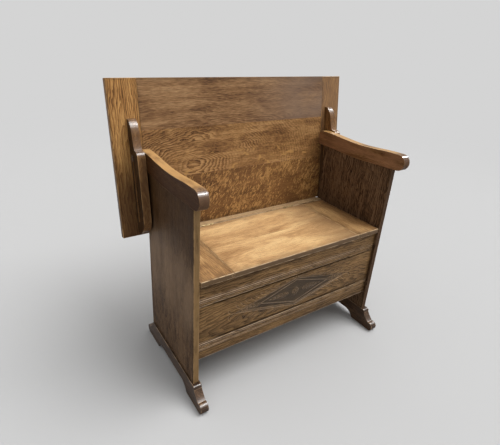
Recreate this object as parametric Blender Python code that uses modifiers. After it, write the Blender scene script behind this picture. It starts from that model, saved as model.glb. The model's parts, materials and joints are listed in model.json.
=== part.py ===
"""Oak monk's bench: a box seat whose tilting back slides forward and becomes a table top.

Units are metres, +Z is up, the sitter faces -Y and +X is on the right of someone looking at the
front.  Lengths along Y are counted from the middle of the feet, and the empty "bench" then moves
everything so that the whole object is centred on the world's origin.
"""
import math

import bmesh
import bpy
from mathutils import Matrix, Vector

GAP = 0.0003                    # clearance between pieces that touch
ARRIS = 0.0012                  # width of the eased edges

# The ends: side panels, sled feet and arms
PANEL_OUT = 0.4005              # outer face of a side panel, from the middle
PANEL_THICK = 0.019
PANEL_IN = PANEL_OUT - PANEL_THICK
PANEL_FRONT = -0.1616
PANEL_REAR = 0.1860
PANEL_LOW = 0.060
PANEL_HIGH = 0.703
HOUSING = 0.006                 # depth of the grooves that hold the front and back panels

FOOT_IN = 0.3785
FOOT_OUT = 0.4065
FOOT_TOP = 0.076
FOOT_HALF = 0.229               # from the middle of the foot to its toe
FOOT_ARCH = 0.027
PAD_END = 0.121                 # where the pad ends and the arch starts

ARM_IN = 0.3785
ARM_OUT = 0.4080
ARM_TOP = 0.745
ARM_LOW = 0.688
ARM_DIP = 0.0088                # how far the top of the arm sinks at its middle
ARM_NOSE_Y = -0.1775            # centre of the round front end

# The box under the seat
SEAT_TOP = 0.4507
LID_THICK = 0.018
LID_FRONT = PANEL_FRONT
LID_REAR = 0.1538
LID_HALF = ARM_IN - 0.0005      # the lid swings up between the arms
LID_CLAMP_IN = 0.2640
LID_JOINT = -0.004              # the glued joint between the two boards of the lid
RAIL_FRONT = 0.1574
RAIL_REAR = 0.1884              # just short of the top, which hangs behind it
RAIL_HEIGHT = 0.040
LIP_REAR = 0.2050               # a lip on the rail reaches under the top and closes the gap
LIP_DOWN = 0.0047               # from the seat to the lip's upper face
LIP_THICK = 0.012
BOX_LOW = 0.155
FRONT_FACE = -0.1509
FRONT_THICK = 0.018
BACK_FACE = 0.162
BACK_THICK = 0.012
FLOOR_LOW = 0.173
FLOOR_THICK = 0.012
BATTEN = 0.018

# Reeding and lozenge on the front panel
REED_PITCH = 0.0066
REED_DEPTH = 0.0022
UPPER_REEDS = (0.3533, 5)       # lowest edge of the band, number of reeds
LOWER_REEDS = (0.1885, 5)
LOZENGE_HALF = (0.250, 0.056)
LOZENGE_Z = 0.2875
LOZENGE_DEPTH = 0.002

# The top, measured in its own frame: across, along the slope, and through
LEAN = math.radians(8.0)
TOP_HALF = 0.488
TOP_DEPTH = 0.511
TOP_THICK = 0.0205
TOP_CLAMP_IN = 0.391
TOP_JOINTS = (0.184, 0.350)     # heights of the glued joints above the lower edge
TONGUE_LONG = 0.010
TONGUE_THICK = 0.0065

PIVOT = Vector((0.0, 0.2028, 0.7213))
PIVOT_TO_FACE = ARM_TOP + GAP - PIVOT.z     # so that the table top lies just above the arms
PIVOT_UP = 0.2696               # from the lower edge of the top to the peg
SLIDE = 0.2086                  # travel of the top on its pegs

BEARER_IN = 0.4095
BEARER_OUT = 0.4350
BEARER_DEEP = 0.070             # beside the slot
BEARER_SHALLOW = 0.037          # above the arm
HEEL_UP = 0.072                 # where the round lower end starts, and how tall it is
HEEL_TALL = 0.060
SHOULDER_UP = 0.274
SHOULDER_R = 0.020
NECK = ((0.0465, 0.2960), (0.0400, 0.3080))     # out from the top and up, below the head
HEAD_UP = 0.3320                # where the round upper end starts, and how tall it is
HEAD_TALL = 0.058
PEG_R = 0.0065
PEG_HEAD_R = 0.0105
PEG_HEAD_RISE = 0.003           # height of the dome, and of the plain rim under it
PEG_IN_ARM = 0.022
SLOT_R = PEG_R + 0.0004
SCREW_UPS = (0.036, 0.330)      # heights of the screws that hold a bearer
SCREW_HEADS = (0.0410, 0.0275)  # how far each screw's head stands off the top's face
COUNTERBORE_R = 0.0055

# Butt hinges of the lid
HINGE_X = 0.190
HINGE_LONG = 0.050
LEAF_THICK = 0.0012
LEAF_TALL = 0.0123
BARREL_R = 0.0026
HINGE_PIN_R = 0.0011
HINGE_Y = (LID_REAR + RAIL_FRONT) / 2
LEAF_SCREW_X = 0.016
LEAF_SCREW_DOWN = 0.0065        # from the upper edge of a leaf to its screws
NECK_LAP = 0.002                # how far a knuckle's neck runs down into its leaf

TOP_REAR = (PIVOT.y + (TOP_DEPTH - PIVOT_UP) * math.sin(LEAN)
            + (PIVOT_TO_FACE + TOP_THICK) * math.cos(LEAN))
MIDDLE_Y = (TOP_REAR - FOOT_HALF) / 2


# ---------------------------------------------------------------- tools

def reset():
    """Empty the scene and make the collections for the parts and for the cutters."""
    for obj in list(bpy.data.objects):
        bpy.data.objects.remove(obj, do_unlink=True)
    for name in ("monks_bench", "cutters"):
        collection = bpy.data.collections.new(name)
        bpy.context.scene.collection.children.link(collection)


def material(name, colour, roughness, metallic=0.0):
    made = bpy.data.materials.new(name)
    made.use_nodes = True
    shader = made.node_tree.nodes["Principled BSDF"]
    shader.inputs["Base Color"].default_value = (*colour, 1.0)
    shader.inputs["Roughness"].default_value = roughness
    shader.inputs["Metallic"].default_value = metallic
    return made


def empty(name, location, parent=None, rotation=(0.0, 0.0, 0.0)):
    """An axis or a frame that pieces hang on."""
    made = bpy.data.objects.new(name, None)
    made.empty_display_size = 0.05
    made.location = location
    made.rotation_euler = rotation
    made.parent = parent
    bpy.data.collections["monks_bench"].objects.link(made)
    return made


def place(obj, parent, finish=None, collection="monks_bench"):
    bpy.data.collections[collection].objects.link(obj)
    obj.parent = parent
    if finish is not None:
        obj.data.materials.append(finish)
    if collection == "cutters":
        obj.hide_render = True
        obj.display_type = "WIRE"
    return obj


def box(name, low, high, parent, finish=None, eased=ARRIS, collection="monks_bench"):
    """A board between two corners, in its parent's frame, with eased edges."""
    low = Vector(low)
    high = Vector(high)
    shape = bmesh.new()
    bmesh.ops.create_cube(shape, size=1.0)
    bmesh.ops.scale(shape, vec=high - low, verts=shape.verts)
    mesh = bpy.data.meshes.new(name)
    shape.to_mesh(mesh)
    shape.free()
    obj = bpy.data.objects.new(name, mesh)
    obj.location = (low + high) / 2
    if eased:
        bevel = obj.modifiers.new("eased_edges", "BEVEL")
        bevel.width = eased
        bevel.segments = 1
    return place(obj, parent, finish, collection)


def outline(name, points, low, high, parent, finish=None, along="X", collection="monks_bench"):
    """A flat outline extruded along one axis from low to high.

    Points are (y, z) along X, (x, z) along Y and (x, y) along Z.
    """
    curve = bpy.data.curves.new(name, "CURVE")
    curve.dimensions = "2D"
    curve.fill_mode = "BOTH"
    curve.extrude = (high - low) / 2
    spline = curve.splines.new("POLY")
    spline.points.add(len(points) - 1)
    for target, (across, up) in zip(spline.points, points):
        target.co = (across, up, 0.0, 1.0)
    spline.use_cyclic_u = True
    drawn = bpy.data.objects.new(name + "_outline", curve)
    bpy.context.scene.collection.objects.link(drawn)
    graph = bpy.context.evaluated_depsgraph_get()
    mesh = bpy.data.meshes.new_from_object(drawn.evaluated_get(graph))
    bpy.data.objects.remove(drawn, do_unlink=True)
    mesh.name = name
    middle = (low + high) / 2
    turns = {
        "X": Matrix(((0, 0, 1, middle), (1, 0, 0, 0), (0, 1, 0, 0), (0, 0, 0, 1))),
        "Y": Matrix(((1, 0, 0, 0), (0, 0, -1, middle), (0, 1, 0, 0), (0, 0, 0, 1))),
        "Z": Matrix(((1, 0, 0, 0), (0, 1, 0, 0), (0, 0, 1, middle), (0, 0, 0, 1))),
    }
    shape = bmesh.new()
    shape.from_mesh(mesh)
    bmesh.ops.remove_doubles(shape, verts=shape.verts, dist=0.00001)
    bmesh.ops.transform(shape, matrix=turns[along], verts=shape.verts)
    bmesh.ops.recalc_face_normals(shape, faces=shape.faces)
    shape.to_mesh(mesh)
    shape.free()
    obj = bpy.data.objects.new(name, mesh)
    return place(obj, parent, finish, collection)


def turned(name, profile, location, direction, parent, finish=None, steps=16,
           collection="monks_bench"):
    """A turned piece: profile points are (radius, height) along direction, from the far end down."""
    mesh = bpy.data.meshes.new(name)
    edges = [(index, index + 1) for index in range(len(profile) - 1)]
    mesh.from_pydata([(radius, 0.0, height) for radius, height in profile], edges, [])
    obj = bpy.data.objects.new(name, mesh)
    screw = obj.modifiers.new("turning", "SCREW")
    screw.steps = steps
    screw.render_steps = steps
    screw.use_merge_vertices = True
    screw.merge_threshold = 0.00001
    obj.location = location
    obj.rotation_mode = "QUATERNION"
    obj.rotation_quaternion = Vector(direction).to_track_quat("Z", "Y")
    return place(obj, parent, finish, collection)


def cut(target, cutter, operation="DIFFERENCE"):
    """Cut the target with the cutter, or join the cutter to it."""
    boolean = target.modifiers.new(cutter.name, "BOOLEAN")
    boolean.operation = operation
    boolean.solver = "EXACT"
    boolean.object = cutter
    return target


def arc(centre, radius, start, end, count):
    """Points of an arc, angles in degrees; radius may be a pair for an ellipse."""
    across, up = radius if isinstance(radius, tuple) else (radius, radius)
    points = []
    for index in range(count + 1):
        angle = math.radians(start + (end - start) * index / count)
        points.append((centre[0] + across * math.cos(angle), centre[1] + up * math.sin(angle)))
    return points


def bend(start, pull, end, count):
    """Points of a quadratic curve from start to end, drawn towards pull."""
    points = []
    for index in range(count + 1):
        t = index / count
        weights = ((1 - t) ** 2, 2 * t * (1 - t), t ** 2)
        points.append(tuple(sum(w * p[axis] for w, p in zip(weights, (start, pull, end)))
                            for axis in range(2)))
    return points


# ---------------------------------------------------------------- ends

def foot_outline():
    """Sled foot: nosing, cove and rounded toe at each end, an arch between the two pads."""
    nosing_r = 0.009
    nosing_y = -FOOT_HALF + 0.059
    toe_r = 0.018
    toe_y = -FOOT_HALF + toe_r
    arch_lip = (-PAD_END + 0.006, 0.010)
    arch_end = (-PAD_END + 0.041, FOOT_ARCH)
    front = [(0.0, FOOT_TOP)]
    front += arc((nosing_y, FOOT_TOP - nosing_r), nosing_r, 90, 200, 7)
    front += bend(front[-1], (toe_y + 0.021, 0.0460), (toe_y + 0.005, 0.0352), 6)[1:]
    front += arc((toe_y, toe_r), toe_r, 100, 270, 13)
    front += bend((-PAD_END - 0.001, 0.0), (-PAD_END + 0.002, 0.004), arch_lip, 3)
    front += bend(arch_lip, (-PAD_END + 0.017, FOOT_ARCH), arch_end, 6)[1:]
    rear = [(-y, z) for y, z in reversed(front[1:])]
    return front + rear


def dipped(y, height, dip):
    """Height of the swept edge of an arm, which sinks by dip at the middle."""
    share = (y - ARM_NOSE_Y) / (PANEL_REAR - ARM_NOSE_Y)
    return height - dip * (1 - math.cos(2 * math.pi * share)) / 2


def arm_outline():
    """Arm on edge: round nose, gently sunk top, rear end rounded so that the top clears it."""
    nose_r = (ARM_TOP - ARM_LOW) / 2
    span = PANEL_REAR - ARM_NOSE_Y
    rear_r = 0.018
    heel_r = 0.012
    rear_y = PIVOT.y + rear_r
    points = arc((ARM_NOSE_Y, ARM_TOP - nose_r), nose_r, 270, 90, 18)
    stations = [ARM_NOSE_Y + span * index / 16 for index in range(1, 16)]
    points += [(y, dipped(y, ARM_TOP, ARM_DIP)) for y in stations]
    points += arc((PIVOT.y, ARM_TOP - rear_r), rear_r, 90, 0, 9)
    points += arc((rear_y - heel_r, ARM_LOW + heel_r), heel_r, 0, -90, 6)
    points += [(y, dipped(y, ARM_LOW, ARM_DIP * 0.8)) for y in reversed(stations)]
    return points


def make_end(side, sign, bench, wood):
    """Side panel, foot and arm of one end; sign is -1 on the left."""
    def across(inner, outer):
        return (inner, outer) if sign > 0 else (-outer, -inner)

    low, high = across(PANEL_IN, PANEL_OUT)
    panel = box(side + "_side_panel", (low, PANEL_FRONT, PANEL_LOW),
                (high, PANEL_REAR, PANEL_HIGH), bench, wood)
    grooves = {
        "front": (FRONT_FACE, FRONT_FACE + FRONT_THICK, SEAT_TOP - LID_THICK),
        "back": (BACK_FACE, BACK_FACE + BACK_THICK, SEAT_TOP - RAIL_HEIGHT),
    }
    for name, (near, far, top) in grooves.items():
        low, high = across(PANEL_IN - 0.01, PANEL_IN + HOUSING)
        cut(panel, box(f"{side}_{name}_groove", (low, near - GAP, BOX_LOW - GAP),
                       (high, far + GAP, top), bench, eased=0, collection="cutters"))

    low, high = across(FOOT_IN, FOOT_OUT)
    foot = outline(side + "_foot", foot_outline(), low, high, bench, wood)
    low, high = across(ARM_IN, ARM_OUT)
    arm = outline(side + "_arm", arm_outline(), low, high, bench, wood)
    low, high = across(PANEL_IN - GAP, PANEL_OUT + GAP)
    cut(foot, box(side + "_foot_groove", (low, PANEL_FRONT - GAP, PANEL_LOW - GAP),
                  (high, PANEL_REAR + GAP, FOOT_TOP + 0.01), bench, eased=0, collection="cutters"))
    cut(arm, box(side + "_arm_groove", (low, PANEL_FRONT - GAP, ARM_LOW - 0.03),
                 (high, PANEL_REAR + GAP, PANEL_HIGH + GAP), bench, eased=0, collection="cutters"))
    depth = PEG_IN_ARM + GAP
    hole = [(0.0, 0.01), (SLOT_R, 0.01), (SLOT_R, -depth), (0.0, -depth)]
    cut(arm, turned(side + "_peg_hole", hole, (sign * ARM_OUT, PIVOT.y, PIVOT.z),
                    (sign, 0, 0), bench, steps=24, collection="cutters"))
    for name, floor, front, rear in (
            ("floor_batten", BOX_LOW, FRONT_FACE + FRONT_THICK + GAP, BACK_FACE - GAP),
            ("lid_batten", SEAT_TOP - LID_THICK - BATTEN, FRONT_FACE + FRONT_THICK + GAP, 0.1500)):
        low, high = across(PANEL_IN - GAP - BATTEN, PANEL_IN - GAP)
        box(f"{side}_{name}", (low, front, floor), (high, rear, floor + BATTEN - GAP), bench, wood)


# ---------------------------------------------------------------- box and lid

def reeded_profile():
    """Section of the front panel: hollows with round reeds between them, in two bands."""
    quirk = 0.0006                  # half the width of the narrow channel between two reeds
    crown = 0.9                     # height of a reed as a share of the depth of its band
    face = FRONT_FACE
    back = FRONT_FACE + FRONT_THICK
    points = [(back, BOX_LOW), (face, BOX_LOW)]
    for start, count in (LOWER_REEDS, UPPER_REEDS):
        points.append((face, start))
        for index in range(count):
            foot = start + index * REED_PITCH
            points.append((face + REED_DEPTH, foot + quirk))
            points += [(face + REED_DEPTH * (1 - math.sin(math.pi * share)) * crown,
                        foot + REED_PITCH * share) for share in (0.25, 0.5, 0.75)]
            points.append((face + REED_DEPTH, foot + REED_PITCH - quirk))
        points.append((face, start + count * REED_PITCH))
    top = SEAT_TOP - LID_THICK - GAP
    return points + [(face, top), (back, top)]


def make_box(bench, wood, plain):
    """Front and back of the chest, its floor and the fixed rail behind the lid."""
    reach = PANEL_IN + HOUSING - GAP
    front = outline("front_panel", reeded_profile(), -reach, reach, bench, wood)
    wide, tall = LOZENGE_HALF
    lozenge = [(-wide, LOZENGE_Z), (0.0, LOZENGE_Z - tall), (wide, LOZENGE_Z),
               (0.0, LOZENGE_Z + tall)]
    cut(front, outline("lozenge_sinking", lozenge, FRONT_FACE - 0.01, FRONT_FACE + LOZENGE_DEPTH,
                       bench, along="Y", collection="cutters"))
    box("back_panel", (-reach, BACK_FACE, BOX_LOW),
        (reach, BACK_FACE + BACK_THICK, SEAT_TOP - RAIL_HEIGHT - GAP), bench, plain)
    inner = PANEL_IN - GAP
    lip = SEAT_TOP - LIP_DOWN
    low = SEAT_TOP - RAIL_HEIGHT
    rail = [(RAIL_FRONT, low), (RAIL_REAR, low), (RAIL_REAR, lip - LIP_THICK),
            (LIP_REAR, lip - LIP_THICK), (LIP_REAR, lip), (RAIL_REAR, lip),
            (RAIL_REAR, SEAT_TOP), (RAIL_FRONT, SEAT_TOP)]
    box("box_floor", (-inner, FRONT_FACE + FRONT_THICK + GAP, FLOOR_LOW),
        (inner, BACK_FACE - GAP, FLOOR_LOW + FLOOR_THICK), bench, plain)
    return outline("seat_rail", rail, -inner, inner, bench, wood)


def through(spans, axis, low, high):
    """Corners of a box whose extent along one axis is replaced by low and high."""
    corners = [[span[0] for span in spans], [span[1] for span in spans]]
    corners[0][axis] = low
    corners[1][axis] = high
    return corners


def board(name, half, spans, thin, parent, wood):
    """A board with a tongue on each end; spans are its extents and thin its thinnest axis."""
    made = box(name, *through(spans, 0, -half, half), parent, wood, eased=0)
    middle = sum(spans[thin]) / 2
    long = 3 - thin
    ends = [list(span) for span in spans]
    ends[0] = [-half - TONGUE_LONG, half + TONGUE_LONG]
    ends[long] = [spans[long][0] + GAP, spans[long][1] - GAP]
    strip = through(ends, thin, middle - TONGUE_THICK / 2, middle + TONGUE_THICK / 2)
    return cut(made, box(name + "_tongues", *strip, parent, eased=0, collection="cutters"), "UNION")


def clamp(name, sign, inner, outer, spans, thin, parent, wood):
    """A cross piece with a groove along its inner edge for the tongues of the boards."""
    made = box(name, *through(spans, 0, *sorted((sign * inner, sign * outer))), parent, wood)
    middle = sum(spans[thin]) / 2
    long = 3 - thin
    room = [list(span) for span in spans]
    room[0] = sorted((sign * (inner - 0.01), sign * (inner + TONGUE_LONG + GAP)))
    room[long] = [spans[long][0] - 0.01, spans[long][1] + 0.01]
    reach = TONGUE_THICK / 2 + GAP
    groove = through(room, thin, middle - reach, middle + reach)
    return cut(made, box(name + "_groove", *groove, parent, eased=0, collection="cutters"))


def make_lid(lid_axis, wood):
    """Two boards held flat by a wide clamp at each end, in the frame of the hinge line."""
    front = LID_FRONT - HINGE_Y
    joint = LID_JOINT - HINGE_Y
    rear = LID_REAR - HINGE_Y
    level = (-LID_THICK, 0.0)
    board("lid_front_board", LID_CLAMP_IN, [(0, 0), (front, joint - GAP / 2), level], 2,
          lid_axis, wood)
    for side, sign in (("left", -1), ("right", 1)):
        clamp(f"lid_{side}_clamp", sign, LID_CLAMP_IN + GAP, LID_HALF,
              [(0, 0), (front, rear), level], 2, lid_axis, wood)
    return board("lid_rear_board", LID_CLAMP_IN, [(0, 0), (joint + GAP / 2, rear), level], 2,
                 lid_axis, wood)


def screw_profile(length, head_r, head, shank_r):
    """Countersunk screw, the face of its head at height 0."""
    point = 0.0025
    return [(0.0, 0.0), (head_r, 0.0), (shank_r, -head), (shank_r, point - length),
            (0.0, -length)]


def screw_hole(length, head_r, head, shank_r):
    """Hole for the same screw, with a clearance all round and open above its head."""
    above = 0.003
    return [(0.0, above), (head_r + GAP, above), (head_r + GAP, 0.0), (shank_r + GAP, -head),
            (shank_r + GAP, -length - GAP), (0.0, -length - GAP)]


def make_leaf(name, centre, direction, knuckles, carrier, parent, brass, steel):
    """One leaf of a butt hinge with its knuckles and two screws into its carrier.

    The frame is the hinge line's: direction is -1 for the lid's leaf and 1 for the rail's.
    """
    x = centre.x
    near = direction * GAP
    far = direction * (GAP + LEAF_THICK)
    front, rear = min(near, far), max(near, far)
    top = -BARREL_R - GAP
    leaf = box(name, (x - HINGE_LONG / 2, centre.y + front, centre.z + top - LEAF_TALL),
               (x + HINGE_LONG / 2, centre.y + rear, centre.z + top), parent, brass, eased=0)
    for index, (start, end) in enumerate(knuckles):
        neck = box(f"{name}_neck_{index}", (x + start, centre.y + front, centre.z + top - NECK_LAP),
                   (x + end, centre.y + rear, centre.z - BARREL_R / 2), parent, eased=0,
                   collection="cutters")
        cut(leaf, neck, "UNION")
        barrel = [(0.0, end), (BARREL_R, end), (BARREL_R, start), (0.0, start)]
        cut(leaf, turned(f"{name}_knuckle_{index}", barrel, centre, (1, 0, 0),
                         parent, steps=20, collection="cutters"), "UNION")
        leaf_bore = [(0.0, end + 0.001), (HINGE_PIN_R + GAP, end + 0.001),
                     (HINGE_PIN_R + GAP, start - 0.001), (0.0, start - 0.001)]
        cut(leaf, turned(f"{name}_bore_{index}", leaf_bore, centre, (1, 0, 0),
                         parent, steps=14, collection="cutters"))
    for spot, offset in (("a", -LEAF_SCREW_X), ("b", LEAF_SCREW_X)):
        seat = (x + offset, centre.y + near, centre.z + top - LEAF_SCREW_DOWN)
        sizes = (0.012, 0.0024, 0.0014, 0.0011)
        hole = turned(f"{name}_hole_{spot}", screw_hole(*sizes), seat,
                      (0, -direction, 0), parent, steps=14, collection="cutters")
        cut(leaf, hole)
        cut(carrier, hole)
        turned(f"{name}_screw_{spot}", screw_profile(*sizes), seat, (0, -direction, 0),
               parent, steel, steps=12)
    return leaf


def make_hinges(bench, lid_axis, rail, lid_board, brass, steel):
    """Two butt hinges let in between the lid and the rail, their knuckles in the seat's face."""
    third = HINGE_LONG / 6
    outer = [(-HINGE_LONG / 2, -third - GAP / 2), (third + GAP / 2, HINGE_LONG / 2)]
    inner = [(-third + GAP / 2, third - GAP / 2)]
    room = BARREL_R + 0.0005
    for side, sign in (("left", -1), ("right", 1)):
        x = sign * HINGE_X
        fixed = Vector((x, HINGE_Y, SEAT_TOP))
        moving = Vector((x, 0.0, 0.0))
        for carrier, centre, parent in ((rail, fixed, bench), (lid_board, moving, lid_axis)):
            gain = box(f"{side}_gain_{carrier.name}",
                       centre - Vector((HINGE_LONG / 2 + GAP, room, room)),
                       centre + Vector((HINGE_LONG / 2 + GAP, room, room)),
                       parent, eased=0, collection="cutters")
            cut(carrier, gain)
        make_leaf(side + "_hinge_rail_leaf", fixed, 1, outer, rail, bench, brass, steel)
        make_leaf(side + "_hinge_lid_leaf", moving, -1, inner, lid_board, lid_axis, brass, steel)
        half = HINGE_LONG / 2
        pin = [(0.0, half), (HINGE_PIN_R, half), (HINGE_PIN_R, -half), (0.0, -half)]
        turned(side + "_hinge_pin", pin, fixed, (1, 0, 0), bench, steel, steps=12)


# ---------------------------------------------------------------- top

def bearer_outline():
    """Bearer in the top's frame: round ends, deep beside the slot, shallow above the arm."""
    def spot(out, up):
        return (PIVOT_TO_FACE - GAP - out, up - PIVOT_UP)

    heel = arc((0.0, HEEL_UP), (BEARER_DEEP, HEEL_TALL), -90, 0, 12)
    shoulder = arc((BEARER_DEEP - SHOULDER_R, SHOULDER_UP), SHOULDER_R, 0, 90, 8)
    neck = bend(*NECK, (BEARER_SHALLOW, HEAD_UP), 5)
    head = arc((0.0, HEAD_UP), (BEARER_SHALLOW, HEAD_TALL), 0, 90, 12)
    return [spot(out, up) for out, up in heel + shoulder + neck + head[1:]]


def slot_outline():
    """The slot that the peg runs in, a little longer than the travel."""
    upper = arc((0.0, 0.0), SLOT_R, 0, 180, 10)
    lower = arc((0.0, -SLIDE), SLOT_R, 180, 360, 10)
    return upper + lower


def make_top(top_frame, wood):
    """Three boards between two clamps, and the two slotted bearers screwed across the clamps."""
    through_board = (PIVOT_TO_FACE, PIVOT_TO_FACE + TOP_THICK)
    edges = (0.0, *TOP_JOINTS, TOP_DEPTH)
    for name, low, high in zip(("lower", "middle", "upper"), edges, edges[1:]):
        rise = (low - PIVOT_UP + GAP / 2, high - PIVOT_UP - GAP / 2)
        board(f"top_{name}_board", TOP_CLAMP_IN, [(0, 0), through_board, rise], 1, top_frame, wood)
    for side, sign in (("left", -1), ("right", 1)):
        end = clamp(f"top_{side}_clamp", sign, TOP_CLAMP_IN + GAP, TOP_HALF,
                    [(0, 0), through_board, (-PIVOT_UP, TOP_DEPTH - PIVOT_UP)], 1, top_frame, wood)
        low, high = sorted((sign * BEARER_IN, sign * BEARER_OUT))
        bearer = outline(f"{side}_bearer", bearer_outline(), low, high, top_frame, wood)
        cut(bearer, outline(f"{side}_slot", slot_outline(), low - 0.01, high + 0.01, top_frame,
                            collection="cutters"))
        make_bearer_screws(side, (low + high) / 2, bearer, end, top_frame, wood)


def make_bearer_screws(side, x, bearer, end, top_frame, wood):
    """Screws deep in the bearer's front edge, each under an oak pellet flush with it."""
    steel = bpy.data.materials["steel"]
    bite = 0.012                    # thread in the clamp behind the bearer
    floor = 0.0005                  # from the face of the screw's head to the counterbore's floor
    beyond = 0.06
    for spot, up, head in zip(("lower", "upper"), SCREW_UPS, SCREW_HEADS):
        seat = (x, PIVOT_TO_FACE - GAP - head, up - PIVOT_UP)
        sizes = (head + bite, 0.0042, 0.003, 0.0024)
        hole = turned(f"{side}_{spot}_screw_hole", screw_hole(*sizes), seat,
                      (0, -1, 0), top_frame, steps=16, collection="cutters")
        mouth = [(0.0, beyond), (COUNTERBORE_R + GAP, beyond), (COUNTERBORE_R + GAP, floor),
                 (0.0, floor)]
        bore = turned(f"{side}_{spot}_counterbore", mouth, seat, (0, -1, 0), top_frame,
                      steps=20, collection="cutters")
        cut(bearer, bore)
        cut(bearer, hole)
        cut(end, hole)
        turned(f"{side}_{spot}_bearer_screw", screw_profile(*sizes), seat, (0, -1, 0),
               top_frame, steel, steps=14)
        low = floor * 2
        plug = [(0.0, beyond), (COUNTERBORE_R, beyond), (COUNTERBORE_R, low), (0.0, low)]
        pellet = turned(f"{side}_{spot}_pellet", plug, seat, (0, -1, 0), top_frame, wood,
                        steps=16)
        face = outline(f"{side}_{spot}_pellet_face", bearer_outline(), x - COUNTERBORE_R * 2,
                       x + COUNTERBORE_R * 2, top_frame, collection="cutters")
        cut(pellet, face, "INTERSECT")


def make_pegs(pin_axis, wood):
    """The turned pegs that the top hangs, slides and tilts on."""
    start = BEARER_OUT + GAP * 2
    end = ARM_OUT - PEG_IN_ARM + GAP
    dome = [(across, PEG_HEAD_RISE + up)
            for across, up in arc((0.0, 0.0), (PEG_HEAD_R, PEG_HEAD_RISE), 90, 0, 6)]
    profile = dome + [(PEG_HEAD_R, 0.0), (PEG_R, 0.0), (PEG_R, end - start), (0.0, end - start)]
    for side, sign in (("left", -1), ("right", 1)):
        turned(side + "_pivot_peg", profile, (sign * start, 0.0, 0.0), (sign, 0, 0),
               pin_axis, wood, steps=24)


# ---------------------------------------------------------------- build

def main():
    reset()
    dark_oak = material("dark_oak", (0.120, 0.066, 0.032), 0.45)
    brown_oak = material("brown_oak", (0.235, 0.130, 0.055), 0.40)
    seat_oak = material("seat_oak", (0.520, 0.330, 0.150), 0.45)
    plain_oak = material("plain_oak", (0.200, 0.140, 0.085), 0.65)
    brass = material("brass", (0.55, 0.42, 0.20), 0.40, 1.0)
    steel = material("steel", (0.30, 0.29, 0.28), 0.45, 1.0)

    bench = empty("bench", (0.0, -MIDDLE_Y, 0.0))
    lid_axis = empty("lid_axis", (0.0, HINGE_Y, SEAT_TOP), bench)
    pin_axis = empty("pin_axis", PIVOT, bench)
    top_frame = empty("top_frame", (0.0, 0.0, 0.0), pin_axis, (-LEAN, 0.0, 0.0))

    make_end("left", -1, bench, dark_oak)
    make_end("right", 1, bench, dark_oak)
    rail = make_box(bench, brown_oak, plain_oak)
    lid_board = make_lid(lid_axis, seat_oak)
    make_hinges(bench, lid_axis, rail, lid_board, brass, steel)
    make_top(top_frame, brown_oak)
    make_pegs(pin_axis, dark_oak)


main()
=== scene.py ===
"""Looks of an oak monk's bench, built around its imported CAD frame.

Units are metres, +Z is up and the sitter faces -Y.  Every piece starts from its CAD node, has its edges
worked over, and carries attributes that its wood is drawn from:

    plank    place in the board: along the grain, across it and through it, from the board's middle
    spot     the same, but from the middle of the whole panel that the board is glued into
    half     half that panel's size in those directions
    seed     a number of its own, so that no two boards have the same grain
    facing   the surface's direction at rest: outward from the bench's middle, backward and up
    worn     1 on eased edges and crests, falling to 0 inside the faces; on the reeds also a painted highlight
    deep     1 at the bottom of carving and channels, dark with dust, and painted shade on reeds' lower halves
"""

import json
import math

import bmesh
import bpy
import numpy as np
from mathutils import Matrix, Vector


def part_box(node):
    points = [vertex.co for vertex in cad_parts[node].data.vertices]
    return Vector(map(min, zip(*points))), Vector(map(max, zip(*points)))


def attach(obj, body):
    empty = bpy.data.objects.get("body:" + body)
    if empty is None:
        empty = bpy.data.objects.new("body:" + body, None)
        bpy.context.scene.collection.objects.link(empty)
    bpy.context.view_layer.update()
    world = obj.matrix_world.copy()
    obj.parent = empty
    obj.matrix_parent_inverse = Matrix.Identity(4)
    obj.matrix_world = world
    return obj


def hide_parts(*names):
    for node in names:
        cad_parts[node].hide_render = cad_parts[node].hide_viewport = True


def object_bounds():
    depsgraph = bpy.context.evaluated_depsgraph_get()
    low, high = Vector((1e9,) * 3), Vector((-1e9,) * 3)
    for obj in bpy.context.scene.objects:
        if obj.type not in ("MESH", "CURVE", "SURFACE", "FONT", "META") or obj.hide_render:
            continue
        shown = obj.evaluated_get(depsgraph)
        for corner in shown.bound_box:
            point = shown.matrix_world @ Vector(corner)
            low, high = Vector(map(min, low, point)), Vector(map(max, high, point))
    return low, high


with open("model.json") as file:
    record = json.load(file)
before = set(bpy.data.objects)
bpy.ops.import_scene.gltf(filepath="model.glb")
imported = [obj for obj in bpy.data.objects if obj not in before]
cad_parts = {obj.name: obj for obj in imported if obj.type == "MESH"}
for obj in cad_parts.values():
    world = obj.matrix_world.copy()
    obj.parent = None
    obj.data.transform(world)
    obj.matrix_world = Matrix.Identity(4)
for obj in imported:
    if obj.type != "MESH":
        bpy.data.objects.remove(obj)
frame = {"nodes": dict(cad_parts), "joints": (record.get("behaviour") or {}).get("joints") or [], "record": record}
CAD_LOW, CAD_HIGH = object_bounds()

BODY_OF = {node: body for body, nodes in frame["record"]["behaviour"]["bodies"].items()
           for node in nodes}
SLOT_OF = {part["node"]: part["material_slot"] for part in frame["record"]["subparts"]}
SLOPE = Vector(next(j["axis"] for j in frame["joints"] if j["name"] == "top_slide"))

X = Vector((1.0, 0.0, 0.0))
Y = Vector((0.0, 1.0, 0.0))
Z = Vector((0.0, 0.0, 1.0))
FRONTWARD = X.cross(SLOPE)          # out of the front face of the leaning top

SHARP = math.radians(20)            # edges that turn more than this are eased
CREASE = math.radians(40)           # edges that turn more than this are shaded sharp
WELD = 0.00002                      # vertices closer than this are one
FLAT = math.radians(0.5)            # faces that turn less than this are one flat area
NEAR = 0.0005                       # how far from a board's side a vertex still lies on it


# ---------------------------------------------------------------- meshes

def copy_of(node):
    """The node's own shape, welded, with each flat area in as few faces as it takes."""
    shape = bmesh.new()
    shape.from_mesh(frame["nodes"][node].data)
    bmesh.ops.remove_doubles(shape, verts=shape.verts, dist=WELD)
    bmesh.ops.dissolve_limit(shape, angle_limit=FLAT, verts=shape.verts, edges=shape.edges)
    return shape


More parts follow.
